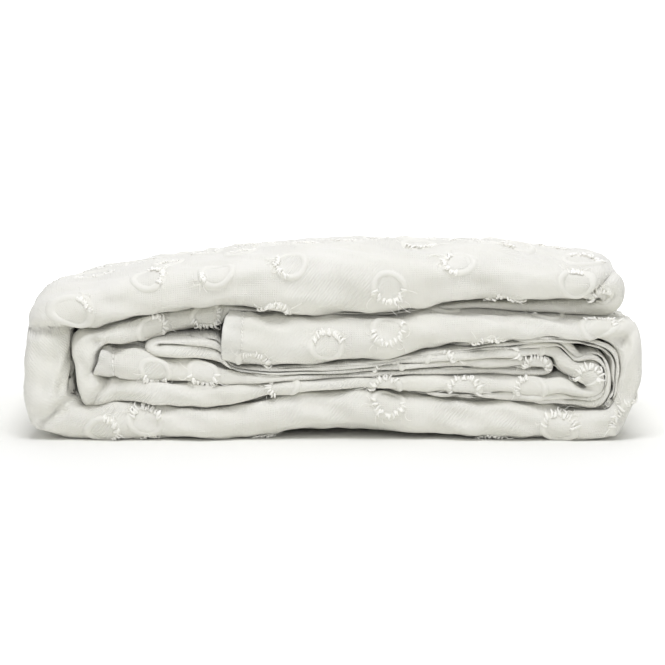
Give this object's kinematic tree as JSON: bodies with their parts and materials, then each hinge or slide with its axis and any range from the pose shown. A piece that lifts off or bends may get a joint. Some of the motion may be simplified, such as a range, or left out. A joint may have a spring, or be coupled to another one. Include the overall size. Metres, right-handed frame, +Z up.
{
  "type": "folded bedspread",
  "caption": "Ivory cotton bedspread folded lengthwise into a long strip and wrapped flat into a packet, its weave scattered with small clipped rings.",
  "frame": {"origin": "centre of the packet's footprint, on the surface that it rests on", "axes": "+X along the packet's length, to the right as the picture shows it; +Y from the front folds to the back; +Z up"},
  "size_m": [0.4, 0.3168, 0.1264],
  "materials": {
    "ivory_cotton": "matt woven cotton, ivory white"
  },
  "bodies": {
    "root": {"bedspread": "ivory_cotton"}
  },
  "joints": []
}
